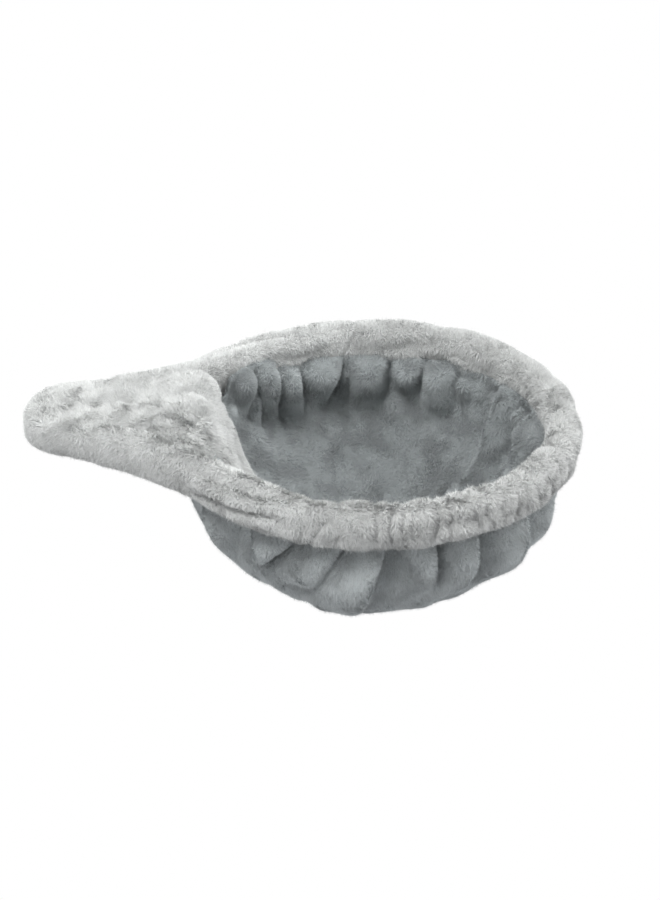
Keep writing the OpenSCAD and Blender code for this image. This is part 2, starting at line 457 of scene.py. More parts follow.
def bowl_faces(rings, around, inward=False):
    """Quads of a bowl of rings, closed by a fan round its last point."""
    faces = []
    for i in range(rings - 2):
        for j in range(around):
            k = (j + 1) % around
            quad = (i * around + j, (i + 1) * around + j, (i + 1) * around + k, i * around + k)
            faces.append(quad if not inward else quad[::-1])
    last, pole = (rings - 2) * around, (rings - 1) * around
    for j in range(around):
        k = (j + 1) % around
        tri = (last + j, pole, last + k)
        faces.append(tri if not inward else tri[::-1])
    return faces


def pouch_shape(kind, rings=96, around=540):
    """Points of the cover or the lining, gathered at the rim. The same seed always gives the same folds."""
    rng = np.random.default_rng(11 if kind == "cover" else 29)
    s = sizes()
    if kind == "cover":
        folds = fill_folds(COVER_FOLDS, 0, 185, 8, 68, rng)
        radius, sign, swell, pinch = COVER_R, 1, s.cover_swell, -12 * MM
        top = SEAM_Z + 3 * MM
        depth = top - COVER_LOW[2] - s.pressed_pile
    else:
        folds = fill_folds(LINING_FOLDS, 171, 360, 9, 48, rng)
        radius, sign, swell, pinch = LINING_R - 3 * MM, -1, s.lining_swell, -3 * MM
        top = SEAM_Z + 10 * MM
        depth = top - LINING_LOW[2]
    r, z, nr, nz, fall = bowl(radius, depth, top, rings, s.squareness)
    theta = np.linspace(0, 2 * math.pi, around, endpoint=False)
    T, R = np.meshgrid(theta, r)
    Z, NR, NZ, F = (np.repeat(v[:, None], around, 1) for v in (z, nr, nz, fall))
    if kind == "lining":
        # beside the bib the lining runs higher up, to the handle's plush
        turned = np.abs((np.degrees(T) + 180) % 360 - 180)
        beside, behind_bib = smoothstep((turned - 122) / 14), smoothstep((turned - 146) / 6)
        beside = beside * (1 - smoothstep((turned - 151.5) / 4.5))
        Z = Z + beside * s.lining_rise * (1 - smoothstep(F / (40 * MM)))
    bare = np.stack([HOOP_X + R * np.cos(T), R * np.sin(T), Z], -1).reshape(-1, 3)
    stand = fold_height(np.degrees(T), F, folds) * swell
    if kind == "lining":
        # the lining lies flat behind the bib
        stand = stand * (1 - behind_bib)
    stand = stand + pinch * (1 - smoothstep(F / (60 * MM)))
    # the cloth hangs in soft streaks below the folds, and is lumpy all over
    streaks = np.stack([6 * np.cos(T), 6 * np.sin(T), Z / (90 * MM)], -1).reshape(-1, 3)
    loose = 1.0 if kind == "cover" else 1.9
    hang = lumps(streaks, 1.0, 2 + sign).reshape(T.shape) * 3 * MM * loose
    soft = lumps(bare, 30 * MM, 1 + sign).reshape(T.shape) * 2.4 * MM * loose
    fine = lumps(bare, 13 * MM, 5 + sign).reshape(T.shape) * 0.8 * MM
    away = smoothstep(R / (80 * MM))
    stand = stand + hang * away * smoothstep(F / (50 * MM)) + soft * (0.4 + 0.6 * away) + fine
    # the sewn edge stays on its circle inside the rim's sleeve
    stand = stand * smoothstep((F + 0.5 * MM) / (10 * MM))
    if kind == "cover":
        # only inwards at the bottom, so that the pouch keeps its depth
        low = smoothstep((F - F.max() * 0.55) / (F.max() * 0.25))
        stand = stand * (1 - low) + (np.minimum(stand, 0) * 0.3) * low
    return T, R + sign * NR * stand, Z + sign * NZ * stand, F


def pouch_points(T, R, Z):
    """The bowl's points, with its last ring drawn together into the one pole."""
    p = np.stack([HOOP_X + R * np.cos(T), R * np.sin(T), Z], -1)
    pole = p[-1].mean(0)
    return np.concatenate([p[:-1].reshape(-1, 3), [pole]])


def pouch_layers():
    """Cover, wadding and lining shapes, kept apart from each other."""
    T, cover_r, cover_z, F = pouch_shape("cover")
    _, lining_r, lining_z, fall = pouch_shape("lining")
    apart = 4.5 * MM
    # the cover's radius and height at the lining's own levels
    for j in range(T.shape[1]):
        upper = slice(0, int(T.shape[0] * 0.62))
        order = np.argsort(cover_z[upper, j])
        room = np.interp(lining_z[upper, j], cover_z[upper, j][order], cover_r[upper, j][order])
        lining_r[upper, j] = np.minimum(lining_r[upper, j], np.maximum(room - apart, 0))
        lower = slice(int(T.shape[0] * 0.5), None)
        order = np.argsort(cover_r[lower, j])
        floor = np.interp(lining_r[lower, j], cover_r[lower, j][order], cover_z[lower, j][order])
        lining_z[lower, j] = np.maximum(lining_z[lower, j], floor + apart)
    middle = (cover_r + lining_r) / 2, (cover_z + lining_z) / 2
    return T, (cover_r, cover_z), middle, (lining_r, lining_z)


def follow_floor(obj):
    """Bakes the object's placement into its mesh, leaving the object at the origin."""
    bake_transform(obj)


# ---------------------------------------------------------------- handle and rim


def rim_path(inset, x_from, step=4 * MM):
    """Plan points of a line inside the outline, from one side of the handle round the hoop to the other."""
    up = []
    start = TAPER - math.pi / 2
    end = JOIN - math.pi
    r = FLARE_R + inset
    count = max(int(r * (end - start) / step), 8)
    for a in np.linspace(start, end, count, endpoint=False):
        up.append((FLARE_X + r * math.cos(a), FLARE_Y + r * math.sin(a)))
    while up and up[0][0] < x_from:
        up.pop(0)
    ring = RIM_OUT - inset
    hoop = [
        (HOOP_X + ring * math.cos(a), ring * math.sin(a))
        for a in np.linspace(JOIN, -JOIN, int(ring * 2 * JOIN / step))
    ]
    return np.array(up + hoop + [(x, -y) for x, y in up[::-1]])


def ring_section(half_w, half_h, around):
    """Points of a section with straight sides and round ends, for the rim."""
    straight = half_h - half_w
    a = np.linspace(0, 2 * math.pi, around, endpoint=False)
    return half_w * np.cos(a), half_w * np.sin(a) + straight * np.clip(np.sin(a) * 4, -1, 1)


def tube(name, path, half_w, half_h, z, bore=0.0, around=32, material=None):
    """A closed tube of that section along a plan path, with a round bore if it has one."""
    tangent = np.gradient(path, axis=0)
    tangent /= np.linalg.norm(tangent, axis=1)[:, None]
    side = np.stack([-tangent[:, 1], tangent[:, 0]], -1)
    w, h = ring_section(half_w, half_h, around)
    points, faces = [], []
    n = len(path)

    def skin(w, h, turned):
        first = len(points)
        for p, s in zip(path, side):
            points.extend((p[0] + s[0] * dw, p[1] + s[1] * dw, z + dh) for dw, dh in zip(w, h))
        for i in range(n - 1):
            for j in range(around):
                k = (j + 1) % around
                a, b = first + i * around, first + (i + 1) * around
                quad = (a + j, a + k, b + k, b + j)
                faces.append(quad[::-1] if turned else quad)
        return first

    outer = skin(w, h, False)
    last = (n - 1) * around
    if bore:
        inner = skin(*ring_section(bore, bore, around), True)
        for j in range(around):
            k = (j + 1) % around
            faces.append((outer + k, outer + j, inner + j, inner + k))
            faces.append((outer + last + j, outer + last + k, inner + last + k, inner + last + j))
    else:
        faces.append(tuple(range(around))[::-1])
        faces.append(tuple(range(last, last + around)))
    return new_piece(name, points, faces, material)


def handle_half_width(x, inset=0.0):
    """Half the handle's width at x, inside its outline."""
    tip = TIP_X + TIP_R
    turn = tip - TIP_R * math.sin(TAPER)
    if x <= turn:
        r = TIP_R - inset
        return math.sqrt(max(r * r - (x - tip) ** 2, 0))
    r = FLARE_R + inset
    a = (x - FLARE_X) / r
    return FLARE_Y - r * math.sqrt(max(1 - a * a, 0))


def pad_section(w, low, high, edge, around=72):
    """A flat section 2 w wide with its edges rounded over by edge."""
    a = np.linspace(0, 2 * math.pi, around, endpoint=False)
    c, s = np.cos(a), np.sin(a)
    half, middle = (high - low) / 2, (high + low) / 2
    edge = min(edge, w)
    y = (w - edge) * np.clip(c * 1.6, -1, 1) + edge * np.sign(c) * np.abs(c) ** 0.8
    z = middle + half * np.sign(s) * np.abs(s) ** 0.62
    return y, z


def handle_pad(name, inset, low, high, x_end, edge=10 * MM, material=None):
    """A padded slab in the handle's shape, with soft edges, from the tip to x_end."""
    xs = TIP_X + inset + (x_end - TIP_X - inset) * (np.linspace(0, 1, 60) ** 1.7)
    points, faces = [], []
    for x in xs:
        w = max(handle_half_width(x, inset), 1.5 * MM)
        inside = NECK_LOW[0] + 6 * MM
        if x > inside:
            # beyond the handle the pad runs between the two necks of the rim
            w = w - min((x - inside) / (20 * MM), 1) * 5 * MM
        # the tip is rounded over just as the sides are
        back = min((x - TIP_X - inset) / edge, 1)
        round_over = math.sqrt(max(1 - (1 - back) ** 2, 0))
        half, middle = (high - low) / 2, (high + low) / 2
        squeeze = 0.42 + 0.58 * round_over
        y, z = pad_section(w, middle - half * squeeze, middle + half * squeeze, edge)
        points.extend((x, dy, dz) for dy, dz in zip(y, z))
    ring, n = 72, len(xs)
    for i in range(n - 1):
        for k in range(ring):
            m = (k + 1) % ring
            faces.append((i * ring + k, (i + 1) * ring + k, (i + 1) * ring + m, i * ring + m))
    faces.append(tuple(range(ring)))
    faces.append(tuple(range((n - 1) * ring, n * ring))[::-1])
    return new_piece(name, points, faces, material)


def join(target, *others):
    with bpy.context.temp_override(active_object=target, selected_editable_objects=[target, *others]):
        bpy.ops.object.join()
    return target


def hoop_angle(p):
    return np.degrees(np.arctan2(p[:, 1], p[:, 0] - HOOP_X))


# Where the rim sleeve's ends are sewn to the handle's plush, in degrees from the far side
SLEEVE_END = 102
SLEEVE_SLANT = 0.6

# The valleys between the rim's gathers, in degrees from the far side, and how deep the rim is
# drawn in between each and the next, in millimetres
GATHERS = [
    (-116, 1.0), (-105.4, 2.0), (-96.8, 3.0), (-86.9, 3.6), (-83.1, 4.0), (-79.2, 4.4), (-76.8, 3.4),
    (-70.5, 4.2), (-66.4, 3.6), (-60.5, 3.2), (-56, 3.4), (-51.5, 3.0), (-47, 3.2), (-42.6, 2.8),
    (-37.5, 2.8), (-33, 2.6), (-28, 2.2), (-22, 2.0), (-15, 1.6), (-7, 1.2), (3, 1.0),
]
# Folds that run along the sleeve where it leaves the handle: start and end in degrees from the far
# side, the section angle at each in degrees from the outer side, and depth and width in millimetres
TWISTS = [
    (-160, -112, 96, 152, 4.2, 3.4),
    (-150, -108, 40, 84, 2.6, 4.5),
    (-146, -110, -30, 34, 3.4, 3.6),
    (-158, -126, 160, 196, 2.6, 3.6),
    (150, 118, 60, 118, 2.2, 4.5),
    (152, 120, 0, 40, 2.6, 4.5),
]
# Soft dents in the handle's and the bib's plush: place in plan, depth and radius, in millimetres
DENTS = [(34, 8, 6.5, 8), (31, -24, 5.5, 8), (44, -32, 5.0, 7), (62, 14, 3.4, 10), (86, 29, 7.0, 9), (85, -8, 5, 10)]
# The two screws pull the plush down to the plate
SCREWS = [(-9, 0, 8.5, 5.8), (9, 0, 10, 6.2)]


def gather(angle, around):
    """How far the rim stands out or in for its gathers, in metres."""
    at = np.array([g[0] for g in GATHERS])
    deep = np.array([g[1] for g in GATHERS])
    # the valleys wander a little across the sleeve
    wander = np.array([noise.noise(Vector((x / 9, y * 0.9, 2.0))) for x, y in zip(angle, around)]) * 2.6
    a = angle + wander
    i = np.clip(np.searchsorted(at, a) - 1, 0, len(at) - 2)
    t = np.clip((a - at[i]) / (at[i + 1] - at[i]), 0, 1)
    ends = smoothstep((a - at[0]) / 6) * smoothstep((at[-1] - a) / 6)
    near = np.where(t < 0.5, deep[i], deep[i + 1])
    reach = np.minimum(t, 1 - t) * np.radians(at[i + 1] - at[i]) * HOOP_R
    flank = 1 - np.exp(-((reach / (3.2 * MM)) ** 1.3))
    # the gathers die away underneath
    under = 1 - 0.8 * smoothstep((-np.sin(around) - 0.3) / 0.45)
    return (flank - 0.72) * near * MM * ends * under


def dents(p, marks):
    """How deep the marks press into the surface at each point, seen in plan."""
    press = np.zeros(len(p))
    for x, y, deep, wide in marks:
        d = np.hypot(p[:, 0] - x * MM, p[:, 1] - y * MM)
        press += deep * MM * np.exp(-((d / (wide * MM)) ** 2))
    return press


def padded_skin():
    """Handle and rim as one soft skin: joined, remeshed, smoothed, then gathered and dented."""
    s = sizes()
    inset = s.pressed_pile
    pad = handle_pad("padded_skin", inset, PANEL_LOW[2] + inset, PANEL_HIGH[2] - inset, BIB_LOW[0] + 6 * MM)
    ring = tube("rim_tube", rim_path(RIM_W / 2, 16 * MM), RIM_W / 2 - inset, RIM_H / 2 - inset, RIM_Z)
    skin = join(pad, ring)
    cut = skin.modifiers.new("remesh", "REMESH")
    cut.mode, cut.voxel_size, cut.use_smooth_shade = "VOXEL", s.remesh, True
    ease = skin.modifiers.new("ease", "SMOOTH")
    ease.factor, ease.iterations = 0.5, 5
    fine = skin.modifiers.new("fine", "SUBSURF")
    fine.levels = fine.render_levels = 1
    apply_modifiers(skin)
    p, n = points_of(skin), normals_of(skin)
    angle = hoop_angle(p)
    out = np.hypot(p[:, 0] - HOOP_X, p[:, 1]) - HOOP_R
    around = np.arctan2(p[:, 2] - RIM_Z, out)
    on_hoop = smoothstep((p[:, 0] - 90 * MM) / (40 * MM))
    move = lumps(p, 34 * MM, 3) * 1.6 * MM + lumps(p, 15 * MM, 4) * 0.5 * MM
    move += on_hoop * gather(angle, around)
    wide = np.array([noise.noise(Vector((x / 11, y * 1.3, 7.0))) for x, y in zip(angle, around)])
    move += on_hoop * wide * 1.8 * MM
    for start, end, low, high, deep, across in TWISTS:
        t = (angle - start) / (end - start)
        if abs(start) > 140:
            t = np.where((p[:, 1] * start) > 0, t, -1)
        line = np.radians(low + (high - low) * t)
        off = (around - line + math.pi) % (2 * math.pi) - math.pi
        fade = smoothstep(t / 0.25) * smoothstep((1 - t) / 0.25)
        move -= deep * MM * fade * np.exp(-((off * 14 / across) ** 2))
        move += 0.5 * deep * MM * fade * np.exp(-(((np.abs(off) * 14 - 7) / 5) ** 2))
    # the sewn joint between sleeve and handle plush
    for side in (-1, 1):
        away = np.radians(angle - side * SLEEVE_END) * HOOP_R + (p[:, 2] - RIM_Z) * SLEEVE_SLANT * side
        move -= 1.8 * MM * np.exp(-((away / (2.2 * MM)) ** 2)) * (np.abs(angle) > 70)
    up, down = smoothstep((n[:, 2] - 0.2) / 0.3), smoothstep((-n[:, 2] - 0.2) / 0.3)
    move -= up * (dents(p, DENTS) + dents(p, SCREWS)) + down * dents(p, SCREWS)
    set_points(skin, p + n * move[:, None])
    return skin


def part_of(skin, name, keep):
    """A copy of the skin with only the faces that keep says."""
    bm = bmesh.new()
    bm.from_mesh(skin.data)
    gone = [f for f in bm.faces if not keep(f.calc_center_median())]
    bmesh.ops.delete(bm, geom=gone, context="FACES")
    mesh = bpy.data.meshes.new(name)
    bm.to_mesh(mesh)
    bm.free()
    return new_object(name, mesh)


# ---------------------------------------------------------------- pile


def blade():
    """One tuft: a narrow leaf, facing +Y and growing along +Z."""
    points = [(-0.5, 0, 0), (0.5, 0, 0), (0, -0.16, 1)]
    return new_piece("pile_blade", points, [(1, 0, 2)], smooth=False)


def pile_tree(tuft, materials):
    """Geometry nodes: scatters the tuft over a surface, combed into clumps, in three tones."""
    tree, inp, out = new_tree(
        "plush_pile",
        "GeometryNodeTree",
        [
            ("Geometry", GEOMETRY, None),
            ("Density", FLOAT, 1e6),
            ("Length", FLOAT, 0.005),
            ("Width", FLOAT, 0.001),
            ("Lean", FLOAT, 1.2),
            ("Clump", FLOAT, 0.012),
            ("Mottle", FLOAT, 0.5),
            ("Seed", "NodeSocketInt", 1),
        ],
        [("Geometry", GEOMETRY)],
    )

    def vector(op, *values, scale=None):
        inputs = {**dict(enumerate(values)), "Scale": scale}
        made = add(tree, "ShaderNodeVectorMath", inputs, operation=op)
        return made.outputs["Value" if op == "DOT_PRODUCT" else "Vector"]

    def number(op, a, b):
        return add(tree, "ShaderNodeMath", {0: a, 1: b}, operation=op).outputs[0]

    def uneven(low, high):
        values = {2: low, 3: high, "Seed": inp["Seed"]}
        return add(tree, "FunctionNodeRandomValue", values, data_type="FLOAT").outputs[1]

    scatter = add(
        tree,
        "GeometryNodeDistributePointsOnFaces",
        {"Mesh": inp["Geometry"], "Density": inp["Density"], "Seed": inp["Seed"]},
        distribute_method="RANDOM",
    ).outputs
    normal = scatter["Normal"]
    place = add(tree, "GeometryNodeInputPosition").outputs[0]
    comb = add(
        tree,
        "ShaderNodeTexNoise",
        {"Vector": place, "Scale": number("DIVIDE", 1.0, inp["Clump"]), "Detail": 2.5, "Roughness": 0.55},
        noise_dimensions="3D",
    ).outputs["Color"]
    lay = vector("SCALE", vector("SUBTRACT", comb, (0.5, 0.5, 0.56)), scale=4.0)
    # the pile is brushed outwards from the neck, and downwards
    outwards = vector("NORMALIZE", vector("SUBTRACT", place, (0.09, 0, 0)))
    lay = vector("ADD", lay, vector("SCALE", outwards, scale=0.6))
    lay = vector("ADD", lay, (0, 0, -0.35))
    stray = {"Min": (-0.8, -0.8, -0.8), "Max": (0.8, 0.8, 0.8), "Seed": inp["Seed"]}
    stray = add(tree, "FunctionNodeRandomValue", stray, data_type="FLOAT_VECTOR").outputs[0]
    lay = vector("ADD", lay, stray)
    flat = vector("SUBTRACT", lay, vector("SCALE", normal, scale=vector("DOT_PRODUCT", lay, normal)))
    # keep the comb's strength even, then lean it over, some tufts more than others
    lean = number("MULTIPLY", inp["Lean"], uneven(0.25, 1.3))
    flat = vector("SCALE", vector("NORMALIZE", flat), scale=lean)
    grow = vector("NORMALIZE", vector("ADD", flat, normal))
    turn = "FunctionNodeAlignRotationToVector"
    along = add(tree, turn, {"Vector": grow}, axis="Z").outputs[0]
    face = add(tree, turn, {"Rotation": along, "Vector": normal}, axis="Y", pivot_axis="Z").outputs[0]
    shape = add(tree, "GeometryNodeObjectInfo", {"Object": tuft}).outputs["Geometry"]
    long = number("MULTIPLY", inp["Length"], uneven(0.6, 1.2))
    size = add(tree, "ShaderNodeCombineXYZ", {0: inp["Width"], 1: long, 2: long}).outputs[0]
    # each tuft's tone: patches, and a little by chance
    tone = {"Vector": place, "Scale": number("DIVIDE", 0.8, inp["Clump"]), "Detail": 3}
    tone = add(tree, "ShaderNodeTexNoise", tone, noise_dimensions="3D").outputs["Fac"]
    patch = number("MULTIPLY", number("SUBTRACT", tone, 0.5), inp["Mottle"])
    tone = number("ADD", number("ADD", patch, 0.5), uneven(-0.17, 0.17))
    keep = add(
        tree,
        "GeometryNodeStoreNamedAttribute",
        {"Name": "tone", "Geometry": scatter["Points"], "Value": tone},
        data_type="FLOAT",
        domain="POINT",
    ).outputs[0]
    plant = {"Points": keep, "Instance": shape, "Rotation": face, "Scale": size}
    plant = add(tree, "GeometryNodeInstanceOnPoints", plant).outputs[0]
    last = add(tree, "GeometryNodeRealizeInstances", {0: plant}).outputs[0]
    read = add(tree, "GeometryNodeInputNamedAttribute", {"Name": "tone"}, data_type="FLOAT")
    for material, op, level in zip(materials, (None, "GREATER_THAN", "LESS_THAN"), (None, 0.57, 0.43)):
        test = number(op, read.outputs["Attribute"], level) if op else None
        paint = {"Material": material, "Geometry": last, "Selection": test}
        last = add(tree, "GeometryNodeSetMaterial", paint).outputs[0]
    put(tree, out, {0: last})
    return tree


# in one piece, which keeps it under the limit of triangles
MOST_TUFTS = 185000  # the most tufts in one piece, which keeps each piece light


def grow_pile(name, surface, materials, density, length, seed, mottle=0.5, slim=1.0, lean=1.0):
    """Pile over a surface, in as many pieces as keep each one light. Returns the pieces."""
    p = pile()
    area = sum(f.area for f in surface.data.polygons)
    tuft = blade()
    tree = pile_tree(tuft, materials)
    parts = max(math.ceil(area * density * 1e6 / MOST_TUFTS), 1)
    made = []
    for k in range(parts):
        values = {
            "Density": density * 1e6 / parts,
            "Length": length,
            "Width": p.width * slim,
            "Lean": p.lean * lean,
            "Clump": p.clump,
            "Mottle": mottle,
            "Seed": seed + 17 * k,
        }
        mesh = mesh_through(surface, tree, values)
        mesh.polygons.foreach_set("use_smooth", [False] * len(mesh.polygons))
        mesh.attributes.remove(mesh.attributes["tone"])
        made.append(new_object(f"{name}_{k + 1}", mesh))
    bpy.data.objects.remove(tuft)
    return made


def plush(name, surface, materials, density, seed, mottle=0.5):
    """Dense pile over a surface, with a few longer strands that stand up out of it."""
    length, few = pile().length, density * pile().loose
    dense = grow_pile(name, surface, materials, density, length, seed, mottle)
    return dense + grow_pile(f"{name}_loose", surface, materials, few, length * 1.2, seed + 1, mottle, 0.6, 0.6)


def tones(name, colour):
    return [
        tuft_material(f"{name}_pile_mid", colour, 1.0),
        tuft_material(f"{name}_pile_pale", colour, 1.14),
        tuft_material(f"{name}_pile_deep", colour, 0.84),
    ]


# ---------------------------------------------------------------- operators


class BASKET_OT_handle_and_rim(bpy.types.Operator):
    """Make the handle's cover and the rim's sleeve, with their pile"""

    bl_idname = "basket.handle_and_rim"
    bl_label = "Handle and rim"

    def execute(self, context):
        skin = padded_skin()
        cloth = backing_material("light_plush_backing", colours().light)
        strands = tones("light_plush", colours().light)

        def on_sleeve(c):
            angle = math.degrees(math.atan2(c.y, c.x - HOOP_X))
            shift = math.degrees((c.z - RIM_Z) * SLEEVE_SLANT / HOOP_R)
            return abs(angle) < SLEEVE_END + (-shift if angle > 0 else shift)

        sleeve = part_of(skin, "rim_sleeve_plush", on_sleeve)
        handle = part_of(skin, "handle_cover_plush", lambda c: not on_sleeve(c))
        bpy.data.objects.remove(skin)
        for obj in (sleeve, handle):
            obj.data.materials.clear()
            obj.data.materials.append(cloth)
            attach(obj, "hanger")
        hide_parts("rim_sleeve")
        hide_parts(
            "handle_top_panel",
            "handle_underside_panel",
            "left_neck_sleeve",
            "right_neck_sleeve",
        )
        # the rim's pile is drawn 8% darker than the handle's, as painted shade for the rim's sides, which are lit
        # less
        rim_tones_with_painted_shade = tones("rim_plush_shaded", [c * 0.92 for c in colours().light])
        for obj, name, tufts_in, seed in ((sleeve, "rim_pile", rim_tones_with_painted_shade, 3), (handle, "handle_pile", strands, 5)):
            for tufts in plush(name, obj, tufts_in, pile().outside, seed):
                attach(tufts, "hanger")
        return {"FINISHED"}


class BASKET_OT_pouch(bpy.types.Operator):
    """Make the pouch's cover, wadding and lining, with their pile"""

    bl_idname = "basket.pouch"
    bl_label = "Pouch"

    def execute(self, context):
        T, cover, wadding, lining = pouch_layers()
        rings, around = T.shape
        # the cover's colour holds painted shade
        cover_cloth = backing_material("cover_plush_backing", colours().cover)
        # the lining's colour holds painted shade
        lining_cloth = backing_material("lining_plush_backing", colours().lining)
        fibre = plain_material("polyester_fibre", (0.85, 0.85, 0.84), 1.0)
        made = {}
        for name, (r, z), material, inward in (
            ("pouch_cover_plush", cover, cover_cloth, False),
            ("pouch_wadding", wadding, fibre, False),
            ("pouch_lining_plush", lining, lining_cloth, True),
        ):
            # the wadding stops short of the seam
            skip = 9 if name == "pouch_wadding" else 0
            points = pouch_points(T[skip:], r[skip:], z[skip:])
            made[name] = new_piece(name, points, bowl_faces(rings - skip, around, inward), material)
        # the frame's parts of each layer are hidden; the slot and the flat cut listed for each, a disc a little
        # smaller for each layer further in, are not used
        for name, slot, cut, nodes in (
            ("pouch_cover_plush", "plush_cover", 0.43, ("pouch_wall_cover", "pouch_floor_cover")),
            ("pouch_wadding", "wadding", 0.385, ("pouch_wall_wadding", "pouch_floor_wadding")),
            ("pouch_lining_plush", "plush_lining", 0.40, ("pouch_wall_lining", "pouch_floor_lining")),
        ):
            obj = made[name]
            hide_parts(*nodes)
        # the pile's tones are made from the cover's and the lining's colours, so they carry the same painted shade
        for name, colour, density, seed, mottle in (
            ("pouch_cover_plush", colours().cover, pile().outside, 7, 0.7),
            ("pouch_lining_plush", colours().lining, pile().inside, 9, 3.2),
        ):
            short = name.replace("_plush", "")
            strands = tones(short, colour)
            for tufts in plush(f"{short}_pile", made[name], strands, density, seed, mottle):
                follow_floor(tufts)
        for obj in made.values():
            follow_floor(obj)
        return {"FINISHED"}


class BASKET_OT_bib(bpy.types.Operator):
    """Make the plush bib that turns down from the handle into the pouch"""

    bl_idname = "basket.bib"
    bl_label = "Bib"

    def execute(self, context):
        turn = 28 * MM
        slope = math.radians(68)
        start_r = HOOP_X - BIB_LOW[0]
        # the bib's fall seen from the side: back over the handle, round the turn, then down
        # its upper end comes out of the handle's plush without a step
        flush = PANEL_HIGH[2] - 0.9 * MM
        line = [(start_r + d * MM, flush - sunk * MM) for d, sunk in ((26, 4.5), (18, 2.2), (11, 0.5), (4, 0))]
        for a in np.linspace(0, slope, 12):
            line.append((start_r - turn * math.sin(a), flush - turn * (1 - math.cos(a))))
        foot = BIB_LOW[2]
        knee_r, knee_z = line[-1]
        for t in np.linspace(0, 1, 20)[1:]:
            line.append((knee_r - t * (knee_z - foot) / math.tan(slope), knee_z + t * (foot - knee_z)))
        line = np.array(line)
        along = np.concatenate([[0], np.cumsum(np.hypot(*np.diff(line, axis=0).T))])
        want = np.linspace(0, along[-1], 60)
        r, z = np.interp(want, along, line[:, 0]), np.interp(want, along, line[:, 1])
        across = 64
        half = (BIB_HIGH[1] - BIB_LOW[1]) / 2
        points, faces = [], []
        for i, (ri, zi) in enumerate(zip(r, z)):
            t = i / (len(r) - 1)
            wide = half * (0.80 + 0.18 * smoothstep(t * 3) - 0.22 * smoothstep((t - 0.4) / 0.6))
            for j in range(across):
                v = 2 * j / (across - 1) - 1
                y = wide * v
                bow = 9 * MM * v * v * smoothstep(t * 1.6)
                curl = -5 * MM * max(abs(v) - 0.86, 0) / 0.14
                lift = 2.5 * MM * noise.noise(Vector((ri, y, zi)) / (26 * MM)) * smoothstep(t * 3)
                x = HOOP_X - ri - bow * 0.6 + lift + curl * math.sin(slope) * 0.6
                points.append((x, y, zi + bow * 0.35 + lift + curl * 0.4))
        points = np.array(points)
        points[:, 2] -= dents(points, DENTS)
        for i in range(len(r) - 1):
            for j in range(across - 1):
                a = i * across + j
                faces.append((a, a + across, a + across + 1, a + 1))
        cloth = bpy.data.materials["light_plush_backing"]
        bib = new_piece("neck_bib_plush", points, faces, cloth)
        thick = bib.modifiers.new("thick", "SOLIDIFY")
        thick.thickness, thick.offset, thick.use_rim = sizes().backing, -1, True
        apply_modifiers(bib)
        # its upper end is sewn to the handle and its lower end lies on the lining
        follow_floor(bib)
        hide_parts("neck_bib")
        strands = [bpy.data.materials[f"light_plush_pile_{t}"] for t in ("mid", "pale", "deep")]
        for tufts in plush("bib_pile", bib, strands, pile().outside * 0.8, 13):
            follow_floor(tufts)
        return {"FINISHED"}


class BASKET_OT_padding(bpy.types.Operator):
    """Make the handle's foams and the rim's wadding"""

    bl_idname = "basket.padding"
    bl_label = "Padding"

    def execute(self, context):
        foam = plain_material("cream_foam", (0.78, 0.74, 0.58), 0.95, 0, 1500, 0.5)
        for node in ("upper_handle_foam", "lower_handle_foam"):
            low, high = node_box(node)
            inset = low[0] - TIP_X + 1.5 * MM
            pad = handle_pad(node + "_pad", inset, low[2], high[2] - 1 * MM, BIB_LOW[0] - 2 * MM, 5 * MM, foam)
            if low[2] > RIM_Z:
                p = points_of(pad)
                thick = np.maximum(p[:, 2] - low[2] - 0.5 * MM, 0)
                p[:, 2] -= np.minimum(dents(p, DENTS) + dents(p, SCREWS) + 1 * MM, thick)
                set_points(pad, p)
            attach(pad, "hanger")
            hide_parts(node)
        fibre = plain_material("rim_fibre", (0.85, 0.85, 0.84), 1.0, 0, 500, 0.8)
        low, high = node_box("ring_rod")
        bore = (high[2] - low[2]) / 2 + 1.2 * MM
        path = rim_path(RIM_W / 2, 52 * MM)
        core = tube("rim_and_neck_wadding", path, 6.6 * MM, 10.5 * MM, RIM_Z, bore, 28, fibre)
        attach(core, "hanger")
        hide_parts("rim_wadding", "left_neck_wadding", "right_neck_wadding")
        return {"FINISHED"}


def thread_loop():
    """One stitch of thread, along X: a short bar with six sides and drawn-in ends."""
    rings = ((-0.5, 0.35), (-0.3, 1.0), (0.3, 1.0), (0.5, 0.35))
    turns = np.radians(range(0, 360, 60))
    points = [(x, 0.5 * r * math.cos(a), 0.5 * r * math.sin(a)) for x, r in rings for a in turns]
    faces = [tuple(range(6))[::-1], tuple(range(18, 24))]
    for i in range(3):
        for j in range(6):
            k = (j + 1) % 6
            faces.append((6 * i + j, 6 * i + k, 6 * i + 6 + k, 6 * i + 6 + j))
    return new_piece("thread_loop", points, faces)


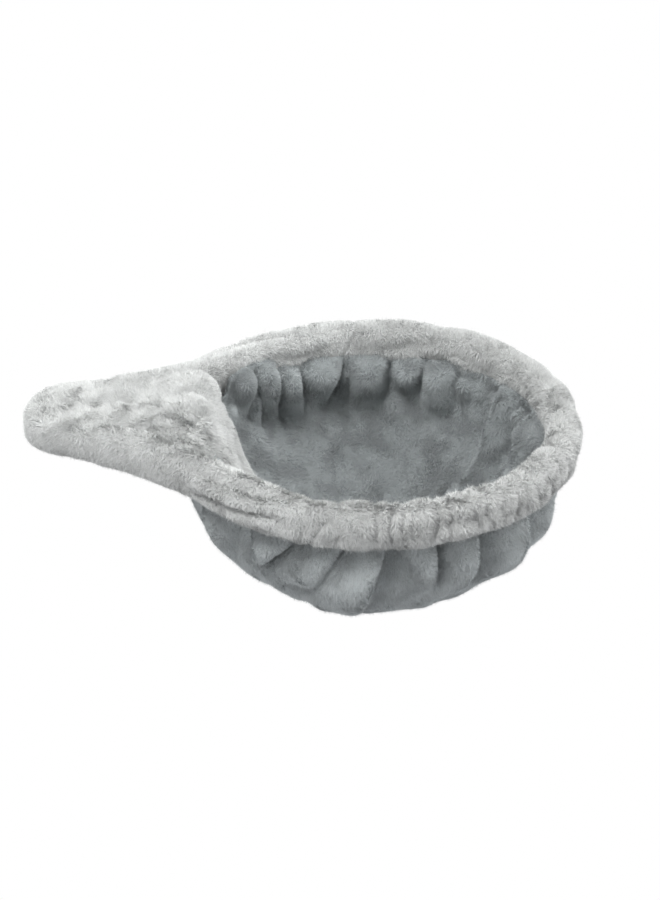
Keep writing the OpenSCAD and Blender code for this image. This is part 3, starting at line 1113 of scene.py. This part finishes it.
def stitch_tree(stitch, material):
    """Geometry nodes: lays a stitch at even steps along an edge line."""
    tree, inp, out = new_tree(
        "running_stitch",
        "GeometryNodeTree",
        [
            ("Geometry", GEOMETRY, None),
            ("Step", FLOAT, 0.004),
            ("Length", FLOAT, 0.003),
            ("Thickness", FLOAT, 0.0008),
        ],
        [("Geometry", GEOMETRY)],
    )
    line = add(tree, "GeometryNodeMeshToCurve", {"Mesh": inp["Geometry"]}).outputs[0]
    even = {"Curve": line, "Length": inp["Step"]}
    even = add(tree, "GeometryNodeResampleCurve", even, mode="LENGTH").outputs[0]
    along = add(tree, "GeometryNodeInputTangent").outputs[0]
    turn = add(tree, "FunctionNodeAlignRotationToVector", {"Vector": along}, axis="X").outputs[0]
    shape = add(tree, "GeometryNodeObjectInfo", {"Object": stitch}).outputs["Geometry"]
    size = {0: inp["Length"], 1: inp["Thickness"], 2: inp["Thickness"]}
    size = add(tree, "ShaderNodeCombineXYZ", size).outputs[0]
    plant = {"Points": even, "Instance": shape, "Rotation": turn, "Scale": size}
    plant = add(tree, "GeometryNodeInstanceOnPoints", plant).outputs[0]
    real = add(tree, "GeometryNodeRealizeInstances", {0: plant}).outputs[0]
    paint = add(tree, "GeometryNodeSetMaterial", {"Geometry": real, "Material": material})
    put(tree, out, {0: paint.outputs[0]})
    return tree


def stitches(name, lines, step, length, thick, material):
    """A row of stitches along each line of points, as one mesh."""
    points, edges = [], []
    for line in lines:
        first = len(points)
        points.extend(tuple(p) for p in line)
        edges.extend((first + i, first + i + 1) for i in range(len(line) - 1))
    mesh = bpy.data.meshes.new(name)
    mesh.from_pydata(points, edges, [])
    guide = new_object(name + "_guide", mesh)
    loop = thread_loop()
    values = {"Step": step, "Length": length, "Thickness": thick}
    made = mesh_through(guide, stitch_tree(loop, material), values)
    made.polygons.foreach_set("use_smooth", [True] * len(made.polygons))
    bpy.data.objects.remove(guide)
    bpy.data.objects.remove(loop)
    return new_object(name, made)


class BASKET_OT_seams(bpy.types.Operator):
    """Make the seam stitches and the gathering elastic"""

    bl_idname = "basket.seams"
    bl_label = "Seams"

    def execute(self, context):
        grey = plain_material("grey_thread", (0.30, 0.31, 0.31), 0.7, 0, 2500, 0.2)
        # round the inside of the rim, where the lining is sewn on
        angles = np.linspace(-JOIN, JOIN, 260)
        inner = HOOP_R - RIM_W / 2 + 0.8 * MM
        ring = [(HOOP_X + inner * math.cos(a), inner * math.sin(a), SEAM_Z + 8.5 * MM) for a in angles]
        lining = stitches("lining_seam_stitches", [ring], 4.2 * MM, 3.2 * MM, 0.9 * MM, grey)
        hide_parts("lining_seam_thread")
        # round the handle's edge, between its two panels
        xs = TIP_X + 3 * MM + (NECK_LOW[0] - TIP_X) * np.linspace(0, 1, 40) ** 2
        edge = [(x, handle_half_width(x, 3 * MM), RIM_Z) for x in xs]
        edge = [(x, -y, z) for x, y, z in edge[::-1]] + edge[1:]
        handle = stitches("handle_seam_stitches", [edge], 3.6 * MM, 2.8 * MM, 0.8 * MM, grey)
        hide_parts("handle_seam_thread")
        for obj in (lining, handle):
            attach(obj, "hanger")
        # the elastic is puckered, and lies in the bottom of the rim's sleeve
        band = plain_material("elastic_braid", (0.55, 0.56, 0.56), 0.75, 0, 2000, 0.2)
        a = np.linspace(-JOIN, JOIN, 520)
        r = HOOP_R + 0.5 * MM * np.sin(a * 75)
        path = np.stack([HOOP_X + r * np.cos(a), r * np.sin(a)], -1)
        elastic = tube("gathering_elastic_band", path, 1.0 * MM, 1.1 * MM, RIM_LOW[2] + 4.6 * MM, 0, 10, band)
        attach(elastic, "hanger")
        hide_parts("gathering_elastic")
        return {"FINISHED"}


class BASKET_OT_inner_parts(bpy.types.Operator):
    """Give the wire frame, plate, welds and caps their finishes"""

    bl_idname = "basket.inner_parts"
    bl_label = "Inner parts"

    def execute(self, context):
        for name, finish, nodes in (
            ("drawn_steel", ((0.42, 0.43, 0.44), 0.38, 1.0, 600, 0.05), ("ring_rod",)),
            ("rolled_steel", ((0.52, 0.53, 0.54), 0.45, 1.0, 300, 0.05), ("mounting_plate",)),
            ("weld", ((0.20, 0.19, 0.18), 0.6, 0.8, 700, 0.3), ("left_weld_bead", "right_weld_bead")),
            ("cap_rubber", ((0.02, 0.02, 0.022), 0.7), ("left_tail_cap", "right_tail_cap")),
        ):
            material = plain_material(name, *finish)
            for node in nodes:
                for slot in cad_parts[node].material_slots:
                    slot.material = material
        return {"FINISHED"}


class BASKET_OT_stage(bpy.types.Operator):
    """Make the floor, the lights and the camera"""

    bl_idname = "basket.stage"
    bl_label = "Stage"

    def execute(self, context):
        wide, z = 6, -0.42
        corners = [(-wide, -wide, z), (wide, -wide, z), (wide, wide, z), (-wide, wide, z)]
        floor = new_piece("floor", corners, [(0, 1, 2, 3)])
        pale = bpy.data.materials.new("floor_white")
        pale.use_nodes = True
        tree = pale.node_tree
        tree.nodes.remove(tree.nodes["Principled BSDF"])
        # a plain white sheet to look at, which throws only a little light back up at the basket
        sheet = add(tree, "ShaderNodeEmission", {"Color": (1, 1, 1, 1)}).outputs[0]
        dim = add(tree, "ShaderNodeBsdfDiffuse", {"Color": (0.34, 0.34, 0.35, 1)}).outputs[0]
        seen = add(tree, "ShaderNodeLightPath").outputs["Is Camera Ray"]
        both = add(tree, "ShaderNodeMixShader", {"Fac": seen, 1: dim, 2: sheet}).outputs[0]
        put(tree, tree.nodes["Material Output"], {"Surface": both})
        floor.data.materials.append(pale)
        context.scene.view_settings.view_transform = "Standard"
        world = bpy.data.worlds.new("studio")
        world.use_nodes = True
        # a soft light from all round, against a white background
        tree = world.node_tree
        seen = add(tree, "ShaderNodeLightPath").outputs["Is Camera Ray"]
        strength = add(tree, "ShaderNodeMapRange", {"Value": seen, "To Min": 0.45, "To Max": 1.0})
        sky = {"Color": (0.98, 0.99, 1.0, 1), "Strength": strength.outputs["Result"]}
        put(tree, tree.nodes["Background"], sky)
        context.scene.world = world
        middle = Vector((HOOP_X - 54 * MM, 0, RIM_Z))
        # broad, even lamps: one above, one beyond the hoop and a faint one in front
        for name, place, spread, power in (
            ("main_light", (-0.26, -0.27, 1.0), 26, 2.85),
            ("side_light", (1.0, 0.15, 0.62), 40, 2.3),
            ("front_light", (-0.9, -1.0, 0.35), 25, 0.62),
        ):
            data = bpy.data.lights.new(name, "SUN")
            data.angle, data.energy = math.radians(spread), power
            lamp = new_object(name, data)
            lamp.rotation_euler = (-Vector(place)).to_track_quat("-Z", "Y").to_euler()
        # the camera looks down at the basket's side, a little from its far end
        azimuth, height, roll = math.radians(3.8), math.radians(30), math.radians(-0.5)
        away, lens, shift_x, shift_y = 1.5, 81.4, 0.0221, -0.0192
        level = math.cos(height)
        back = Vector((math.sin(azimuth) * level, -math.cos(azimuth) * level, math.sin(height)))
        right = Vector((math.cos(azimuth), math.sin(azimuth), 0))
        up = (-back).cross(right) * -1
        r2 = right * math.cos(roll) + up * math.sin(roll)
        u2 = up * math.cos(roll) - right * math.sin(roll)
        data = bpy.data.cameras.new("camera")
        data.lens, data.sensor_width, data.sensor_height = lens, 36, 36
        camera = new_object("camera", data)
        place = Matrix.Translation(middle + back * away + r2 * shift_x + u2 * shift_y)
        camera.matrix_world = place @ Matrix((r2, u2, back)).transposed().to_4x4()
        context.scene.camera = camera
        return {"FINISHED"}


class BASKET_PT_panel(bpy.types.Panel):
    """The basket's pieces and sizes."""

    bl_label = "Basket"
    bl_idname = "BASKET_PT_panel"
    bl_space_type = "VIEW_3D"
    bl_region_type = "UI"
    bl_category = "Basket"

    def draw(self, context):
        for cls in OPERATORS:
            self.layout.operator(cls.bl_idname)
        for group in (sizes(), pile(), colours()):
            for key in group.__annotations__:
                self.layout.prop(group, key)


OPERATORS = (
    BASKET_OT_stage,
    BASKET_OT_handle_and_rim,
    BASKET_OT_bib,
    BASKET_OT_pouch,
    BASKET_OT_padding,
    BASKET_OT_seams,
    BASKET_OT_inner_parts,
)
CLASSES = (BasketSizes, BasketPile, BasketColours, *OPERATORS, BASKET_PT_panel)


def register():
    for cls in CLASSES:
        bpy.utils.register_class(cls)
    bpy.types.Scene.basket_sizes = bpy.props.PointerProperty(type=BasketSizes)
    bpy.types.Scene.basket_pile = bpy.props.PointerProperty(type=BasketPile)
    bpy.types.Scene.basket_colours = bpy.props.PointerProperty(type=BasketColours)


def unregister():
    del bpy.types.Scene.basket_sizes, bpy.types.Scene.basket_pile, bpy.types.Scene.basket_colours
    for cls in reversed(CLASSES):
        bpy.utils.unregister_class(cls)


def main():
    register()
    bpy.ops.basket.stage()
    bpy.ops.basket.handle_and_rim()
    bpy.ops.basket.bib()
    bpy.ops.basket.pouch()
    bpy.ops.basket.padding()
    bpy.ops.basket.seams()
    bpy.ops.basket.inner_parts()


if __name__ == "__main__":
    main()
